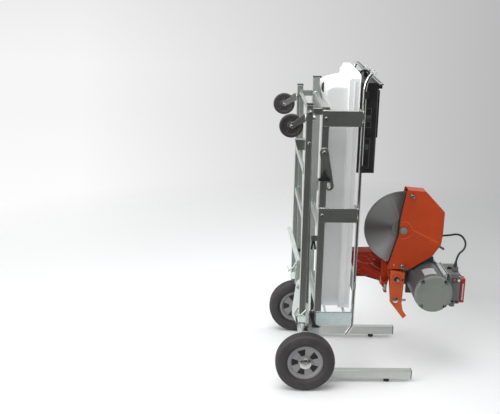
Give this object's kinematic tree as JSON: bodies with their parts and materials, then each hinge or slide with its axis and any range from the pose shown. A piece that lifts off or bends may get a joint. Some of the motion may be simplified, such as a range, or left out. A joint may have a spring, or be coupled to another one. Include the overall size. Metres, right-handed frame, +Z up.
{
  "type": "folding wheeled masonry table saw",
  "caption": "Electric wet saw for stone and blocks, folded and standing on end on its transport wheels, with guarded blade, motor, sliding table, water tray and folding legs.",
  "frame": {"origin": "middle of the bounding box on the floor", "axes": "+X from the legs to the saw head, +Y away from the switch side, +Z up; the saw stands on end on its wheels and toe bars"},
  "size_m": [0.8906, 0.686, 1.384],
  "materials": {
    "zinc_steel": "bright zinc plated",
    "tray_sheet": "polished galvanised sheet",
    "panel_zinc": "dull zinc with spangle",
    "bright_fasteners": "bright",
    "black_plastic": "moulded",
    "black_rubber": "matte",
    "tyre_rubber": "worn matte",
    "castor_rubber": "matte",
    "hub_grey": "moulded grey",
    "black_coat": "black powder coat",
    "scale_bar": "brushed, graduated",
    "orange_paint": "semi-gloss orange",
    "red_paint": "semi-gloss orange red",
    "curtain_cloth": "coated cloth",
    "motor_grey": "grey enamel",
    "end_grey": "grey green enamel",
    "mount_grey": "dark grey enamel",
    "core_steel": "bare",
    "blade_steel": "satin",
    "belt_rubber": "matte",
    "box_grey": "moulded",
    "flap_red": "gloss",
    "button_white": "gloss",
    "button_red": "gloss",
    "plate_white": "printed plate, blank",
    "lead_black": "cable sheath"
  },
  "bodies": {
    "chassis": {"side_tubes": "zinc_steel", "frame_cross_tubes": "zinc_steel", "frame_end_caps": "black_plastic", "toe_bars": "zinc_steel", "toe_pads": "black_rubber", "axle": "bright_fasteners", "axle_brackets": "zinc_steel", "rear_panel": "panel_zinc", "guide_rails": "bright_fasteners", "side_bands": "zinc_steel", "frame_bolts": "bright_fasteners", "leg_arms": "zinc_steel", "water_tray": "tray_sheet", "column_base": "red_paint", "column": "red_paint", "splash_curtain": "curtain_cloth", "pivot_block": "red_paint", "pivot_shaft": "bright_fasteners", "counter_spring": "bright_fasteners", "stop_pads": "black_rubber"},
    "latch": {"latch_lever": "zinc_steel", "latch_knob": "black_plastic"},
    "cam": {"cam_lever": "black_plastic"},
    "near_wheel": {"near_tyre": "tyre_rubber", "near_hub": "hub_grey"},
    "far_wheel": {"far_tyre": "tyre_rubber", "far_hub": "hub_grey"},
    "front_frame": {"front_legs": "zinc_steel", "front_leg_caps": "black_plastic"},
    "rear_frame": {"rear_legs": "zinc_steel", "rear_leg_caps": "black_plastic"},
    "stay": {"fold_stay": "zinc_steel"},
    "near_castor": {"near_castor_fork": "zinc_steel"},
    "near_castor_roller": {"near_castor_wheel": "castor_rubber"},
    "far_castor": {"far_castor_fork": "zinc_steel"},
    "far_castor_roller": {"far_castor_wheel": "castor_rubber"},
    "table": {"table_top": "black_coat", "table_guides": "black_plastic", "scale_fence": "scale_bar", "wire_clip": "bright_fasteners"},
    "head": {"head_bracket": "orange_paint", "guard_shell": "orange_paint", "guard_side_cover": "orange_paint", "drive_belt": "belt_rubber", "belt_cover": "orange_paint", "motor_mount": "mount_grey", "motor_housing": "motor_grey", "motor_end_bell": "end_grey", "motor_stator": "core_steel", "motor_plate": "plate_white", "switch_box": "box_grey", "cable_glands": "black_plastic", "head_lead": "lead_black", "head_bolts": "bright_fasteners"},
    "blade": {"saw_blade": "blade_steel", "blade_arbor": "bright_fasteners"},
    "rotor": {"motor_rotor": "core_steel"},
    "start": {"start_button": "button_white"},
    "stop": {"stop_button": "button_red"},
    "flap": {"stop_flap": "flap_red"}
  },
  "joints": [
    {"name": "near_wheel_spin", "type": "hinge", "parent": "chassis", "child": "near_wheel", "pos_m": [-0.30668, -0.311, 0.131], "axis": [0, 1, 0], "continuous": true},
    {"name": "far_wheel_spin", "type": "hinge", "parent": "chassis", "child": "far_wheel", "pos_m": [-0.30668, 0.311, 0.131], "axis": [0, 1, 0], "continuous": true},
    {"name": "front_legs_fold", "type": "hinge", "parent": "chassis", "child": "front_frame", "pos_m": [-0.32168, 0, 1.225], "axis": [0, 1, 0], "range_deg": [0, 100]},
    {"name": "rear_legs_fold", "type": "hinge", "parent": "chassis", "child": "rear_frame", "pos_m": [-0.30268, 0, 0.27], "axis": [0, -1, 0], "range_deg": [0, 100]},
    {"name": "stay_swing", "type": "hinge", "parent": "rear_frame", "child": "stay", "pos_m": [-0.30668, 0.2165, 0.4], "axis": [0, -1, 0], "range_deg": [0, 40]},
    {"name": "near_castor_swivel", "type": "hinge", "parent": "front_frame", "child": "near_castor", "pos_m": [-0.36668, -0.261, 1.201], "axis": [1, 0, 0], "continuous": true},
    {"name": "near_castor_spin", "type": "hinge", "parent": "near_castor", "child": "near_castor_roller", "pos_m": [-0.39668, -0.261, 1.168], "axis": [0, 1, 0], "continuous": true},
    {"name": "far_castor_swivel", "type": "hinge", "parent": "front_frame", "child": "far_castor", "pos_m": [-0.36668, 0.261, 1.201], "axis": [1, 0, 0], "continuous": true},
    {"name": "far_castor_spin", "type": "hinge", "parent": "far_castor", "child": "far_castor_roller", "pos_m": [-0.39668, 0.261, 1.168], "axis": [0, 1, 0], "continuous": true},
    {"name": "table_slide", "type": "slide", "parent": "chassis", "child": "table", "axis": [0, 0, -1], "range_m": [0, 0.4]},
    {"name": "head_swing", "type": "hinge", "parent": "chassis", "child": "head", "pos_m": [0.12332, 0, 0.422], "axis": [0, -1, 0], "range_deg": [0, 20]},
    {"name": "blade_spin", "type": "hinge", "parent": "head", "child": "blade", "pos_m": [0.14132, 0, 0.652], "axis": [0, 1, 0], "continuous": true},
    {"name": "motor_spin", "type": "hinge", "parent": "head", "child": "rotor", "pos_m": [0.26432, 0, 0.405], "axis": [0, 1, 0], "continuous": true},
    {"name": "start_press", "type": "slide", "parent": "head", "child": "start", "axis": [0, 1, 0], "range_m": [0, 0.003], "stiffness_N_per_m": 300},
    {"name": "stop_press", "type": "slide", "parent": "head", "child": "stop", "axis": [0, 1, 0], "range_m": [0, 0.003], "stiffness_N_per_m": 300},
    {"name": "flap_lift", "type": "hinge", "parent": "head", "child": "flap", "pos_m": [0.39682, -0.131, 0.4605], "axis": [0, -1, 0], "range_deg": [0, 70]},
    {"name": "latch_turn", "type": "hinge", "parent": "chassis", "child": "latch", "pos_m": [-0.25568, -0.253, 1.056], "axis": [0, -1, 0], "range_deg": [0, 60]},
    {"name": "cam_turn", "type": "hinge", "parent": "chassis", "child": "cam", "pos_m": [-0.28068, -0.214, 0.669], "axis": [0, 1, 0], "range_deg": [-20, 20]}
  ],
  "couplings": [
    {"joint": "blade_spin", "follows": "motor_spin", "ratio": 1.1842}
  ]
}
